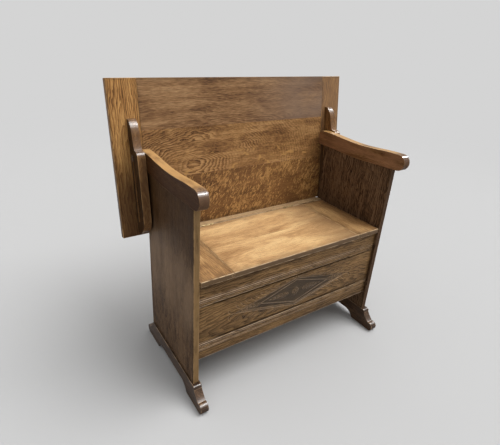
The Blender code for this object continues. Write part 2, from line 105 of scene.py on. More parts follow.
def ease(shape, radius, segments=3, chosen=None):
    """Round the sharp edges, or those that chosen picks; returns the vertices along their crests."""
    edges = [edge for edge in shape.edges if edge.is_manifold and edge.calc_face_angle() > SHARP]
    if chosen is not None:
        edges = [edge for edge in edges if chosen(edge)]
    if not edges:
        return set()
    made = bmesh.ops.bevel(shape, geom=edges, offset=radius, segments=segments, profile=0.5,
                           affect="EDGES", clamp_overlap=True)
    rounded = set(made["faces"])
    return {vertex for vertex in made["verts"]
            if all(face in rounded for face in vertex.link_faces)}


def cut_at(shape, direction, places):
    """Split the faces along planes across a direction, where boards are glued side by side."""
    for place in places:
        everything = shape.verts[:] + shape.edges[:] + shape.faces[:]
        bmesh.ops.bisect_plane(shape, geom=everything, plane_co=direction * place,
                               plane_no=direction)


def store(mesh, name, kind, values, domain="CORNER"):
    attribute = mesh.attributes.new(name, kind, domain)
    field = "vector" if kind == "FLOAT_VECTOR" else "value"
    attribute.data.foreach_set(field, np.asarray(values, np.float32).ravel())


def board_attributes(mesh, axes, seed, joints=(), panel=()):
    """Write plank, spot, half and seed.

    axes are along, across and through, joints are glue lines inside the node, and panel names
    the nodes that it is glued up with.
    """
    turn = np.array([list(axis) for axis in axes])
    points = np.empty(len(mesh.vertices) * 3, np.float32)
    mesh.vertices.foreach_get("co", points)
    points = points.reshape(-1, 3) @ turn.T
    corners = np.empty(len(mesh.loops), np.int32)
    mesh.loops.foreach_get("vertex_index", corners)
    low, high = points.min(0), points.max(0)
    middle = np.tile((low + high) / 2, (len(corners), 1))
    seeds = np.full(len(corners), seed, np.float32)
    edges = [low[1], *joints, high[1]]
    for polygon in mesh.polygons if joints else ():
        across = float(np.mean([points[v][1] for v in polygon.vertices]))
        strip = sum(across > joint for joint in joints)
        span = slice(polygon.loop_start, polygon.loop_start + polygon.loop_total)
        middle[span, 1] = (edges[strip] + edges[strip + 1]) / 2
        seeds[span] = seed + 0.37 * strip
    for node in panel:
        others = np.array([vertex.co[:] for vertex in frame["nodes"][node].data.vertices]) @ turn.T
        low, high = np.minimum(low, others.min(0)), np.maximum(high, others.max(0))
    store(mesh, "plank", "FLOAT_VECTOR", points[corners] - middle)
    store(mesh, "spot", "FLOAT_VECTOR", points[corners] - (low + high) / 2)
    store(mesh, "half", "FLOAT_VECTOR", np.tile((high - low) / 2, (len(corners), 1)))
    store(mesh, "seed", "FLOAT", seeds)


def finish_mesh(mesh):
    """Smooth shading with sharp creases, and the direction of the surface as an attribute."""
    mesh.shade_smooth()
    mesh.set_sharp_from_angle(angle=CREASE)
    normals = np.empty(len(mesh.loops) * 3, np.float32)
    mesh.corner_normals.foreach_get("vector", normals)
    normals = normals.reshape(-1, 3)
    points = np.array([vertex.co.x for vertex in mesh.vertices])
    normals[:, 0] *= math.copysign(1.0, points.min() + points.max())
    store(mesh, "facing", "FLOAT_VECTOR", normals)


def show(node, mesh, finish):
    """Put the mesh in the scene in place of its CAD node."""
    piece = bpy.data.objects.new("shown_" + node, mesh)
    bpy.context.scene.collection.objects.link(piece)
    mesh.materials.clear()
    mesh.materials.append(finish)
    even = piece.modifiers.new("even_shading", "WEIGHTED_NORMAL")
    even.keep_sharp = True
    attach(piece, BODY_OF[node])
    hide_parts(node)
    return piece


def worked(node, finish, axes, seed, radius=0.0006, segments=3, joints=(), nose=None, panel=()):
    """A piece of wood: edges eased and worn, grain along its first axis."""
    across = axes[1]
    here = [vertex.co.dot(across) for vertex in frame["nodes"][node].data.vertices]
    whole = [vertex.co.dot(across) for other in panel
             for vertex in frame["nodes"][other].data.vertices]

    def at_a_free_edge(edge):
        """Edges along a glue line stay sharp, so that the boards read as one panel."""
        for place, limit in ((min(here), min(whole, default=0)), (max(here), max(whole, default=0))):
            glued = whole and abs(place - limit) > 2 * NEAR
            if glued and all(abs(v.co.dot(across) - place) < NEAR for v in edge.verts):
                return False
        return True

    shape = copy_of(node)
    crests = set()
    if nose is not None:
        crests |= ease(shape, nose[0], segments=4, chosen=nose[1])
    crests |= ease(shape, radius, segments, at_a_free_edge)
    cut_at(shape, across, joints)
    flags = [1.0 if vertex in crests else 0.0 for vertex in shape.verts]
    mesh = bpy.data.meshes.new("shown_" + node)
    shape.to_mesh(mesh)
    shape.free()
    store(mesh, "worn", "FLOAT", flags, "POINT")
    board_attributes(mesh, axes, seed, joints, panel)
    finish_mesh(mesh)
    return show(node, mesh, finish)


# ---------------------------------------------------------------- carved front panel

FRONT_LOW, FRONT_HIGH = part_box("front_panel")
REED_PITCH = 0.0066
REED_DEPTH = 0.0022
REEDS = 5
REED_RUBS = (0.50, 0.15, 0.55, 1.00, 0.40)      # how much each is rubbed, from the lowest up
RUB_AND_HIGHLIGHT_AT_RIGHT = 0.45                 # how much of the crests' rubbing and painted highlight is left at their right ends
LOWER_BAND = 0.0335                 # from the panel's lower edge to a band of reeds
UPPER_BAND = 0.1983
CARVING_MIDDLE = 0.1325             # from the panel's lower edge to the lozenge's middle
LOZENGE_LONG = 0.250                # half its length and half its height
LOZENGE_TALL = 0.056
GROUND = 0.0028                     # depth of the sunk ground
BOSS_R = 0.0165
CARVED_LONG = 0.290                 # half the size of the field that the carving covers
CARVED_TALL = 0.0690
STEP_LONG = 0.00105                 # the field's mesh, along and up
STEP_TALL = STEP_LONG * 0.9
CREST_RISE = 0.0006                 # a crest this far above its surroundings is fully rubbed


def bezier(start, pull, end, count=14):
    t = np.linspace(0, 1, count)[:, None]
    start, pull, end = (np.array(p) for p in (start, pull, end))
    return (1 - t) ** 2 * start + 2 * t * (1 - t) * pull + t ** 2 * end


def gouge(depth, x, h, path, width, sink):
    """Cut a round channel along a path, shallow at both ends."""
    count = len(path)
    for index, (px, ph) in enumerate(path):
        swell = math.sin(math.pi * (index + 0.7) / (count + 0.4)) ** 0.6
        reach = width * (0.45 + 0.55 * swell)
        near = 1 - ((x - px) ** 2 + (h - ph) ** 2) / reach ** 2
        cut = sink * swell * np.sqrt(np.clip(near, 0, 1))
        np.maximum(depth, cut, out=depth, where=near > 0)


def ramp(value, start, end):
    t = np.clip((value - start) / (end - start), 0, 1)
    return t * t * (3 - 2 * t)


def carving(x, h):
    """Depth of the carving at x along the panel and h above the lozenge's middle."""
    side = np.abs(x)
    up = np.abs(h)
    inside = (1 - side / LOZENGE_LONG - up / LOZENGE_TALL) * (
        LOZENGE_LONG * LOZENGE_TALL / math.hypot(LOZENGE_LONG, LOZENGE_TALL))
    edge = ramp(inside, -0.0012, 0.0002) * GROUND
    band = ramp(inside, 0.0012, 0.0024) * (1 - ramp(inside, 0.0044, 0.0060))
    crown = 0.0006 * (1 - np.sqrt(np.clip(1 - ((inside - 0.0036) / 0.0022) ** 2, 0, 1)))
    depth = edge * (1 - band) + band * (0.0010 + crown)

    # the inner lozenge, with its own raised line
    short = LOZENGE_LONG * 0.60
    core = (1 - side / short - up / (LOZENGE_TALL - 0.0110)) * 0.0425
    line = ramp(core, -0.0024, -0.0012) * (1 - ramp(core, 0.0004, 0.0016))
    depth = depth - line * (depth - 0.0009) * ramp(inside, 0.0060, 0.0070)

    # pointed leaves on both sides of the boss, and longer ones that fill the tips
    leaves = ((0.030, 0.118, 0.0150, 5, 0.0152), (0.146, 0.232, 0.0120, 6, 0.0140))
    for root, tip, half, veins, pace in leaves:
        run = np.clip((side - root) / (tip - root), 0, 1)
        reach = half * np.sin(math.pi * run ** 0.72) ** 0.8 * (1 - 0.35 * run)
        blade = ramp(reach - up, 0.0, 0.0018) * ramp(inside, 0.0064, 0.0080)
        swell = 0.0009 + 0.0012 * np.clip(up / np.maximum(reach, 0.001), 0, 1) ** 2
        depth = depth * (1 - blade) + swell * blade
        for end in (-1, 1):
            for index in range(veins):
                start = root + 0.006 + pace * index
                share = min((start + 0.012 - root) / (tip - root), 0.98)
                room = half * math.sin(math.pi * share ** 0.72) ** 0.8 * (1 - 0.35 * share)
                for way in (-1, 1):
                    vein = bezier((end * start, 0.0004 * way),
                                  (end * (start + 0.003), way * room * 0.65),
                                  (end * (start + 0.013), way * max(room, 0.002)))
                    gouge(depth, x, h, vein, 0.0021, 0.0027)
            gouge(depth, x, h, bezier((end * (root - 0.002), 0), (end * (root + tip) / 2, 0),
                                      (end * tip, 0), 60), 0.0015, 0.0026)

    # gouge cuts that sweep out of the border, longest near the tips, and curls at the tips
    for end in (-1, 1):
        for index in range(9):
            foot = 0.070 + 0.0190 * index
            rise = LOZENGE_TALL * (1 - foot / LOZENGE_LONG) + 0.0042
            tall = 0.0070 + 0.0018 * index
            for way in (-1, 1):
                flick = bezier((end * foot, way * rise),
                               (end * (foot + 0.016), way * (rise + tall * 0.25)),
                               (end * (foot + 0.026), way * (rise + tall)), 30)
                gouge(depth, x, h, flick, 0.0023, 0.0022)
        for way in (-1, 1):
            curl = bezier((end * 0.248, way * 0.003), (end * 0.276, way * 0.004),
                          (end * 0.270, way * 0.019), 24)
            gouge(depth, x, h, curl, 0.0031, 0.0026)

    # buds at the upper and lower corners
    for way in (-1, 1):
        for lean in (-1, 0, 1):
            bud = bezier((0.0060 * lean, way * (LOZENGE_TALL + 0.0010)),
                         (0.0100 * lean, way * (LOZENGE_TALL + 0.0045)),
                         (0.0180 * lean, way * (LOZENGE_TALL + 0.0090 - 0.002 * abs(lean))), 14)
            gouge(depth, x, h, bud, 0.0024, 0.0024)

    # four-lobed boss in a ring
    radius = np.hypot(x, h)
    angle = np.arctan2(h, x)
    lobes = BOSS_R * (0.86 + 0.14 * np.abs(np.cos(2 * angle)))
    share = np.clip(radius / lobes, 0, 1)
    dome = GROUND * (1 - np.sqrt(1 - share ** 2)) * 0.8
    crease = np.exp(-(radius * np.sin(2 * angle) / 0.0020) ** 2) * ramp(radius, 0.0042, 0.0065)
    dome = np.minimum(dome + crease * 0.0016, GROUND)
    dome = dome + 0.0014 * np.exp(-((radius - 0.0052) / 0.0010) ** 2)
    boss = 1 - ramp(radius / lobes, 0.985, 1.03)
    trench = np.exp(-((radius - lobes - 0.0012) / 0.0011) ** 2) * 0.0004
    return depth * (1 - boss) + dome * boss + trench


def reed_rows(start):
    """Rows across a band of reeds, from its lower edge up: height, depth, rubbed, and dust with painted shade."""
    quirk = 0.0005                  # the groove between two reeds
    deep_quirk = 0.00165            # the wider one below the lowest
    fade = 0.0010
    rows = [(start - fade, 0.0, 0.0, 0.0), (start, 0.0, 0.4, 0.0)]
    for index in range(REEDS):
        foot = start + index * REED_PITCH
        root = quirk * 1.1 if index else deep_quirk
        # the grooves are darkened by dust and by painted shade
        rows.append((foot + quirk, REED_DEPTH, 0.0, 1.0))
        rows.append((foot + root, REED_DEPTH, 0.0, 1.0))
        for turn in range(1, 8):
            t = turn / 8
            # the upper side of each crest is rubbed pale and painted as lit; its lower half is painted in shade,
            # as if lit from above
            rows.append((foot + root + (REED_PITCH - root - quirk) * t,
                         REED_DEPTH * (1 - math.sin(math.pi * t) ** 0.75),
                         REED_RUBS[index] * max(0.0, 1 - abs(t - 0.62) / 0.30),
                         max(0.0, 0.7 - t / 0.50)))
        rows.append((foot + REED_PITCH - quirk, REED_DEPTH, 0.0, 0.8))
    end = start + REEDS * REED_PITCH
    return rows + [(end, 0.0, 0.3, 0.0), (end + fade, 0.0, 0.0, 0.0)]


def carved_front(finish):
    """The front panel: plain reeded stretches with two long rows each, and a fine carved field."""
    low, high = FRONT_LOW, FRONT_HIGH
    middle = low.z + CARVING_MIDDLE
    shape = bmesh.new()
    worn = {}
    deep = {}

    # darkening holds dust in the carving and painted shade on the reeds
    def point(x, z, sink, wear=0.0, darkening=0.0):
        made = shape.verts.new((x, low.y + sink, z))
        worn[made] = wear
        deep[made] = darkening
        return made

    def long_rows(rows):
        """Strips from end to end; returns the rows of vertices."""
        made = []
        for z, sink, rubbed, dust_and_shade in rows:
            # the reeds' crests carry rubbing and a painted highlight, fading from the left end to the right
            made.append([point(x, z, sink, rubbed * share, dust_and_shade)
                         for x, share in ((low.x, 1.0), (high.x, RUB_AND_HIGHLIGHT_AT_RIGHT))])
        for lower, upper in zip(made, made[1:]):
            shape.faces.new((lower[0], lower[1], upper[1], upper[0]))
        return made

    arris = 0.0010                  # width of the rubbed edges along the panel
    below = long_rows([(low.z, arris, 0.0, 0.0), (low.z + arris * 0.3, arris * 0.3, 0.5, 0.0),
                       (low.z + arris, 0.0, 0.0, 0.0)] + reed_rows(low.z + LOWER_BAND))
    above = long_rows(reed_rows(low.z + UPPER_BAND)
                      + [(high.z - arris, 0.0, 0.0, 0.0),
                         (high.z - arris * 0.3, arris * 0.3, 0.3, 0.0), (high.z, arris, 0.0, 0.0)])

    across = np.linspace(-CARVED_LONG, CARVED_LONG, int(2 * CARVED_LONG / STEP_LONG))
    upward = np.linspace(-CARVED_TALL, CARVED_TALL, int(2 * CARVED_TALL / STEP_TALL))
    grid_x, grid_h = np.meshgrid(across, upward)
    depth = carving(grid_x, grid_h)
    depth[[0, -1], :] = 0.0
    depth[:, [0, -1]] = 0.0
    around = (np.roll(depth, 2, 0) + np.roll(depth, -2, 0)
              + np.roll(depth, 2, 1) + np.roll(depth, -2, 1)) / 4
    crest = 0.22 * np.clip((around - depth) / CREST_RISE, 0, 1)
    ground = 0.80 * np.clip(depth / GROUND, 0, 1)
    field = [[point(across[column], middle + upward[row], depth[row, column],
                    crest[row, column], ground[row, column])
              for column in range(len(across))] for row in range(len(upward))]
    for lower, upper in zip(field, field[1:]):
        for column in range(len(across) - 1):
            shape.faces.new((lower[column], lower[column + 1], upper[column + 1], upper[column]))

    # the flat surround of the field, in four faces
    left = [row[0] for row in field]
    right = [row[-1] for row in field]
    shape.faces.new([below[-1][0], below[-1][1]] + field[0][::-1])
    shape.faces.new([below[-1][1], above[0][1]] + right[::-1])
    shape.faces.new([above[0][1], above[0][0]] + field[-1])
    shape.faces.new([above[0][0], below[-1][0]] + left)

    # back, lower and upper edge, ends
    corners = [[shape.verts.new((x, high.y, z)) for x in (low.x, high.x)]
               for z in (low.z, high.z)]
    for vertex in (v for pair in corners for v in pair):
        worn[vertex] = deep[vertex] = 0.0
    shape.faces.new((corners[0][1], corners[0][0], corners[1][0], corners[1][1]))
    shape.faces.new((corners[0][0], corners[0][1], below[0][1], below[0][0]))
    shape.faces.new((above[-1][0], above[-1][1], corners[1][1], corners[1][0]))
    for end in (0, 1):
        outline = [row[end] for row in below + above] + [corners[1][end], corners[0][end]]
        shape.faces.new(outline)
    bmesh.ops.recalc_face_normals(shape, faces=shape.faces)

    order = list(shape.verts)
    mesh = bpy.data.meshes.new("shown_front_panel")
    shape.to_mesh(mesh)
    worn_values = [worn[vertex] for vertex in order]
    deep_values = [deep[vertex] for vertex in order]
    shape.free()
    store(mesh, "worn", "FLOAT", worn_values, "POINT")
    store(mesh, "deep", "FLOAT", deep_values, "POINT")
    board_attributes(mesh, (X, Z, Y), 5.3)
    finish_mesh(mesh)
    return show("front_panel", mesh, finish)


# ---------------------------------------------------------------- materials

class Graph:
    """A material's nodes, made by short calls."""

    def __init__(self, name):
        self.material = bpy.data.materials.new(name)
        self.material.use_nodes = True
        self.tree = self.material.node_tree
        self.shader = self.tree.nodes["Principled BSDF"]

    def node(self, kind, inputs=(), **settings):
        made = self.tree.nodes.new(kind)
        for name, value in settings.items():
            setattr(made, name, value)
        for key, value in dict(inputs).items():
            self.put(made.inputs[key], value)
        return made

    def put(self, socket, value):
        if isinstance(value, bpy.types.NodeSocket):
            self.tree.links.new(value, socket)
        else:
            socket.default_value = value

    def attribute(self, name, output="Fac"):
        return self.node("ShaderNodeAttribute", attribute_name=name).outputs[output]

    def math(self, operation, first, second=0.0, clamp=False):
        made = self.node("ShaderNodeMath", {0: first, 1: second}, operation=operation)
        made.use_clamp = clamp
        return made.outputs[0]

    def vector(self, operation, first, second):
        made = self.node("ShaderNodeVectorMath", {0: first, 1: second}, operation=operation)
        return made.outputs[0]

    def parts(self, vector):
        return self.node("ShaderNodeSeparateXYZ", {0: vector}).outputs

    def join(self, x, y, z):
        return self.node("ShaderNodeCombineXYZ", {0: x, 1: y, 2: z}).outputs[0]

    def noise(self, place, stretch, detail=2.0, roughness=0.5, distortion=0.0):
        spread = self.vector("MULTIPLY", place, stretch)
        made = self.node("ShaderNodeTexNoise", {"Vector": spread, "Scale": 1.0, "Detail": detail,
                                                "Roughness": roughness, "Distortion": distortion})
        return made.outputs["Fac"]

    def span(self, value, low, high, to_low=0.0, to_high=1.0):
        """Map low..high smoothly to to_low..to_high."""
        made = self.node("ShaderNodeMapRange", {"Value": value, "From Min": low, "From Max": high,
                                                "To Min": to_low, "To Max": to_high},
                         interpolation_type="SMOOTHSTEP")
        return made.outputs[0]

    def mix(self, factor, first, second, blend="MIX"):
        made = self.node("ShaderNodeMix", {0: factor, 6: first, 7: second}, data_type="RGBA",
                         blend_type=blend)
        return made.outputs[2]

    def shades(self, value, stops):
        made = self.node("ShaderNodeValToRGB", {0: value})
        points = made.color_ramp.elements
        for index, (place, colour) in enumerate(stops):
            point = points[index] if index < 2 else points.new(place)
            point.position = place
            point.color = (*colour, 1.0)
        return made.outputs[0]


# colours that grime, polish, wear, painted shade and painted sheen pull the wood towards
DUST_AND_PAINTED_SHADE = (0.024, 0.017, 0.010, 1.0)
FLAME_GOLD = (0.520, 0.285, 0.090, 1.0)
COAT_ROUGHNESS = 0.20
# ARM_OUTSIDE is painted shade, ARM_INSIDE painted light, and ARM_TOP rubbing with painted light
ARM_OUTSIDE = (0.032, 0.009, 0.002, 1.0)
ARM_INSIDE = (0.330, 0.168, 0.086, 1.0)
ARM_NOSE = (0.105, 0.060, 0.038, 1.0)
ARM_TOP = (0.560, 0.320, 0.120, 1.0)
# PANEL_SHADED is painted shade and PANEL_SHEEN a painted sheen
PANEL_SHADED = (0.040, 0.015, 0.002, 1.0)
PANEL_SHEEN = (0.275, 0.180, 0.110, 1.0)
CLAMP_GREYED = (0.185, 0.115, 0.072, 1.0)
CLAMP_LOWER_SHADE = (0.050, 0.019, 0.006, 1.0)
TOP_SHEEN = (0.200, 0.135, 0.100, 1.0)
# BEARER_OUTSIDE is painted shade
BEARER_OUTSIDE = (0.014, 0.006, 0.003, 1.0)
BEARER_FRONT = (0.190, 0.100, 0.046, 1.0)
CARVING_STAINED = (0.066, 0.048, 0.034, 1.0)
SEAT_STREAKS_AND_SHADE = (0.235, 0.130, 0.058, 1.0)
SEAT_EDGE_GRIME_AND_SHADE = (0.120, 0.068, 0.030, 1.0)


def oak(name, dark, body, light, worn, rings=0.35, spacing=0.0035, pith=(0.0, 0.25), tilt=0.05,
        figure=0.045, faded=0.0, flames=0.0, flecks=0.0, fleck_colour=(0.50, 0.27, 0.09),
        grime=0.3, grime_reach=0.02, contrast=1.0, mottle=0.8, wear=0.8, gloss=0.42, coat=0.0,
        coat_on_top=0.0, specular=0.25, bump=0.00025, rubbed=(0.32, 0.62), extra=None):
    """Waxed oak.

    pith is where the tree's heart lies along and across the board, figure is how far the rings
    wander, and faded is how far from the heart they fade away, if they do.  rings, flames,
    flecks, grime, contrast, mottle and wear are strengths.  coat is the polish on all faces
    and coat_on_top the one on faces that look up, rubbed is the part of a noise over which
    wear sets in, and extra adds what is particular to a piece.
    """
    g = Graph(name)
    plank = g.attribute("plank", "Vector")
    seed = g.attribute("seed")
    place = g.vector("ADD", plank, g.vector("MULTIPLY", g.join(seed, seed, seed),
                                            (3.7, 1.9, 2.3)))
    along, across, through = g.parts(plank)

    # growth rings around the heart, bent by slow drifts
    drift = g.noise(place, (5.0, 13.0, 13.0), detail=3.0, roughness=0.55)
    swing = g.math("MULTIPLY", g.math("SUBTRACT", drift, 0.5), figure)
    heart = g.join(g.math("MULTIPLY", g.math("SUBTRACT", along, pith[0]), tilt),
                   g.math("ADD", g.math("SUBTRACT", across, pith[1]), swing),
                   g.math("ADD", through, 0.012))
    reach = g.node("ShaderNodeVectorMath", {0: heart}, operation="LENGTH").outputs["Value"]
    count = g.math("ADD", g.math("DIVIDE", reach, spacing),
                   g.math("MULTIPLY", g.noise(place, (9.0, 60.0, 60.0), detail=2.0), 2.2))
    late = g.span(g.math("FRACT", count), 0.15, 0.97)

    # streaks, dashes of open pores, and slow patches of tone
    streak = g.noise(place, (4.0, 85.0, 85.0), detail=3.0, roughness=0.6)
    dash = g.noise(place, (38.0, 400.0, 400.0), detail=2.5, roughness=0.65, distortion=0.3)
    patch = g.noise(place, (5.0, 14.0, 14.0), detail=3.0, roughness=0.6, distortion=0.8)
    pores = g.span(g.noise(place, (60.0, 1500.0, 1500.0), detail=1.0), 0.56, 0.70)
    tone = g.math("ADD", g.math("MULTIPLY", g.math("SUBTRACT", streak, 0.5), 0.8 * contrast),
                  g.math("MULTIPLY", g.math("SUBTRACT", dash, 0.5), 1.25 * contrast))
    tone = g.math("ADD", tone, g.math("MULTIPLY", g.math("SUBTRACT", patch, 0.5), mottle))
    ringed = g.math("MULTIPLY", g.math("SUBTRACT", late, 0.45), rings)
    if faded:
        clear = g.span(g.noise(place, (6.0, 9.0, 9.0), detail=1.0), 0.62, 0.40, 0.15, 1.0)
        near = g.span(reach, faded * 1.3, faded * 0.3, 0.35, 1.0)
        ringed = g.math("MULTIPLY", ringed, g.math("MULTIPLY", clear, near))
    tone = g.math("SUBTRACT", tone, ringed)
    colour = g.shades(g.math("ADD", tone, 0.5), [(0.10, dark), (0.88, light), (0.50, body)])

    height = g.math("SUBTRACT", g.math("MULTIPLY", patch, 1.2), g.math("MULTIPLY", pores, 0.35))
    height = g.math("ADD", height, g.math("MULTIPLY", dash, 0.25))
    if flames:
        # broad golden patches beside the joint, where the rays run along the face
        lick = g.noise(place, (20.0, 34.0, 34.0), detail=1.5, distortion=1.6)
        flame = g.math("MULTIPLY", g.span(lick, 0.60, 0.66), g.span(across, 0.01, -0.04))
        colour = g.mix(g.math("MULTIPLY", flame, flames), colour, FLAME_GOLD)
    if flecks:
        # medullary rays: short wavy marks that lie slantwise over the grain
        slant = g.join(g.math("ADD", along, g.math("MULTIPLY", across, -0.55)), across, through)
        ray = g.noise(g.vector("ADD", slant, g.join(seed, seed, seed)), (120.0, 46.0, 46.0),
                      detail=2.0, roughness=0.55, distortion=1.6)
        where = g.noise(place, (9.0, 22.0, 22.0), detail=2.0)
        ribbon = g.span(g.math("ADD", ray, g.math("MULTIPLY", g.math("SUBTRACT", where, 0.5),
                                                  0.45)), 0.50, 0.60)
        ribbon = g.math("MULTIPLY", ribbon, flecks)
        colour = g.mix(ribbon, colour, (*fleck_colour, 1.0))
        height = g.math("ADD", height, g.math("MULTIPLY", ribbon, 0.2))
    colour = g.mix(g.math("MULTIPLY", pores, 0.5), colour, (*(c * 0.45 for c in dark), 1.0))

    # grime that gathers along the rims, and edges rubbed pale
    spot = g.parts(g.attribute("spot", "Vector"))
    half = g.parts(g.attribute("half", "Vector"))
    end_room, side_room, thick_room = (
        g.math("SUBTRACT", half[k], g.math("ABSOLUTE", spot[k])) for k in range(3))
    rim_room = g.math("MINIMUM", end_room, side_room)
    smear = g.noise(place, (14.0, 30.0, 30.0), detail=3.0)
    grimy_room = g.math("SUBTRACT", rim_room,
                        g.math("MULTIPLY", g.math("SUBTRACT", smear, 0.5), grime_reach * 2.2))
    darkening = g.math("MULTIPLY", g.span(grimy_room, grime_reach, 0.0), grime)
    colour = g.mix(darkening, colour, (*(c * 0.6 for c in dark), 1.0))
    # dust in the carving and channels, and painted shade on the lower halves of the reeds
    colour = g.mix(g.math("MULTIPLY", g.span(g.attribute("deep"), 0.25, 1.0), 0.80), colour,
                   DUST_AND_PAINTED_SHADE)
    if extra is not None:
        colour = extra(g, colour, place)
    edge = g.span(g.math("MAXIMUM", rim_room, thick_room), 0.0030, 0.0006)
    # worn also carries the painted highlight on the reeds' crests
    rub = g.math("MULTIPLY", g.math("MAXIMUM", g.attribute("worn"), edge),
                 g.span(g.noise(place, (30.0, 60.0, 60.0), detail=3.0), *rubbed))
    colour = g.mix(g.math("MULTIPLY", rub, wear), colour, (*worn, 1.0))

    rough = g.math("ADD", gloss, g.math("MULTIPLY", g.math("SUBTRACT", patch, 0.5), 0.25))
    rough = g.math("ADD", rough, g.math("MULTIPLY", pores, 0.10))
    rough = g.math("ADD", rough, g.math("MULTIPLY", darkening, 0.15), clamp=True)
    relief = g.node("ShaderNodeBump", {"Strength": 0.7, "Distance": bump, "Height": height})
    g.put(g.shader.inputs["Base Color"], colour)
    g.put(g.shader.inputs["Roughness"], rough)
    g.put(g.shader.inputs["Normal"], relief.outputs[0])
    g.shader.inputs["Specular IOR Level"].default_value = specular
    g.shader.inputs["Coat Roughness"].default_value = COAT_ROUGHNESS
    if coat_on_top:
        up = g.span(g.parts(g.attribute("facing", "Vector"))[2], 0.0, 0.5, coat, coat_on_top)
        g.put(g.shader.inputs["Coat Weight"], up)
    else:
        g.shader.inputs["Coat Weight"].default_value = coat
    return g.material


def metal(name, bright, dull, roughness):
    """Old metal: dull patches over a brighter ground, with fine scratches."""
    g = Graph(name)
    place = g.node("ShaderNodeTexCoord").outputs["Object"]
    patch = g.noise(place, (160.0, 160.0, 160.0), detail=4.0, roughness=0.6)
    scratch = g.noise(place, (120.0, 2600.0, 2600.0), detail=1.0)
    stain = g.span(patch, 0.40, 0.64)
    colour = g.mix(stain, (*bright, 1.0), (*dull, 1.0))
    rough = g.math("MULTIPLY_ADD", stain, 0.25)
    rough.node.inputs[2].default_value = roughness
    relief = g.node("ShaderNodeBump", {"Strength": 0.5, "Distance": 0.00004,
                                       "Height": g.math("ADD", patch, scratch)})
    g.put(g.shader.inputs["Base Color"], colour)
    g.put(g.shader.inputs["Roughness"], rough)
    g.put(g.shader.inputs["Normal"], relief.outputs[0])
    g.shader.inputs["Metallic"].default_value = 1.0
    return g.material


def facing(g, part, low, high):
    """How far a surface faces outward (0), backward (1) or up (2), from 0 at low to 1 at high."""
    return g.span(g.parts(g.attribute("facing", "Vector"))[part], low, high)


def mottled(g, place, amount, scale=(12.0, 40.0, 40.0), low=0.25, high=0.60):
    return g.math("MULTIPLY", amount, g.span(g.noise(place, scale, detail=3.0), low, high))


def arm_wear_and_shade(g, colour, place):
    """Arms are rubbed pale and painted lit on top, short of the nose; painted shade outside, light inside."""
    spot = g.parts(g.attribute("spot", "Vector"))[0]
    half = g.parts(g.attribute("half", "Vector"))[0]
    from_nose = g.span(g.math("ADD", spot, half), 0.022, 0.062, 0.10, 1.0)
    # the top: rubbing, with painted light from above
    pale = mottled(g, place, g.math("MULTIPLY", facing(g, 2, 0.80, 0.97), from_nose), low=0.15)
    # outer faces: painted shade
    dark = g.math("MULTIPLY", facing(g, 0, 0.3, 0.8), 0.80)
    colour = g.mix(dark, colour, ARM_OUTSIDE)
    # inner faces: painted light
    inside = mottled(g, place, facing(g, 0, -0.3, -0.8), (8.0, 30.0, 30.0))
    colour = g.mix(g.math("MULTIPLY", inside, 0.60), colour, ARM_INSIDE)
    handled = g.math("MULTIPLY", facing(g, 1, -0.15, -0.60), 0.75)
    colour = g.mix(handled, colour, ARM_NOSE)
    return g.mix(g.math("MULTIPLY", pale, 0.9), colour, ARM_TOP)


def panel_shade_and_sheen(front_colour):
    """Side panels differ in their front edges; outside they are painted in shade up high, with a sheen halfway up.
    """
    def extra(g, colour, place):
        height = g.parts(g.attribute("spot", "Vector"))[0]
        outside = facing(g, 0, 0.3, 0.8)
        # painted shade high on the outer faces, under the arms
        shaded = g.math("MULTIPLY", g.span(height, 0.02, 0.20), outside)
        colour = g.mix(g.math("MULTIPLY", shaded, 0.65), colour, PANEL_SHADED)
        # a greyish painted sheen halfway up the outer faces
        band = g.span(g.math("ABSOLUTE", height), 0.20, 0.05)
        painted_sheen = mottled(g, place, g.math("MULTIPLY", band, outside), (5.0, 14.0, 14.0),
                           0.20, 0.70)
        colour = g.mix(g.math("MULTIPLY", painted_sheen, 0.55), colour, PANEL_SHEEN)
        front = mottled(g, place, facing(g, 1, -0.55, -0.90), (16.0, 90.0, 90.0), 0.1, 0.5)
        return g.mix(g.math("MULTIPLY", front, 0.75), colour, front_colour)
    return extra


def clamp_grey_and_shade(greyed):
    """The end clamps of the top are painted in shade towards their lower ends, below the arms, and one has greyed.
    """
    def extra(g, colour, place):
        colour = g.mix(greyed, colour, CLAMP_GREYED)
        along = g.parts(g.attribute("spot", "Vector"))[0]
        # painted shade on the lower ends of the clamps
        low = mottled(g, place, g.span(along, 0.07, -0.12), (6.0, 18.0, 18.0), 0.05, 0.5)
        return g.mix(g.math("MULTIPLY", low, 0.80), colour, CLAMP_LOWER_SHADE)
    return extra


def sheen_corner(g, colour, place):
    """A greyish sheen is painted on the top's upper board towards the right."""
    along = g.parts(g.attribute("spot", "Vector"))[0]
    # the painted sheen, mottled, growing towards the right
    dull = mottled(g, place, g.span(along, -0.05, 0.34), (5.0, 12.0, 12.0), 0.15, 0.60)
    return g.mix(g.math("MULTIPLY", dull, 0.75), colour, TOP_SHEEN)


def bearer_faces_and_shade(g, colour, place):
    """Bearers are brown on their front edges, and their outer faces are painted nearly black as shade."""
    # painted shade on the outer faces
    colour = g.mix(g.math("MULTIPLY", facing(g, 0, 0.3, 0.8), 0.80), colour, BEARER_OUTSIDE)
    front = mottled(g, place, facing(g, 1, -0.60, -0.95), (8.0, 50.0, 50.0), 0.15, 0.55)
    return g.mix(g.math("MULTIPLY", front, 0.65), colour, BEARER_FRONT)


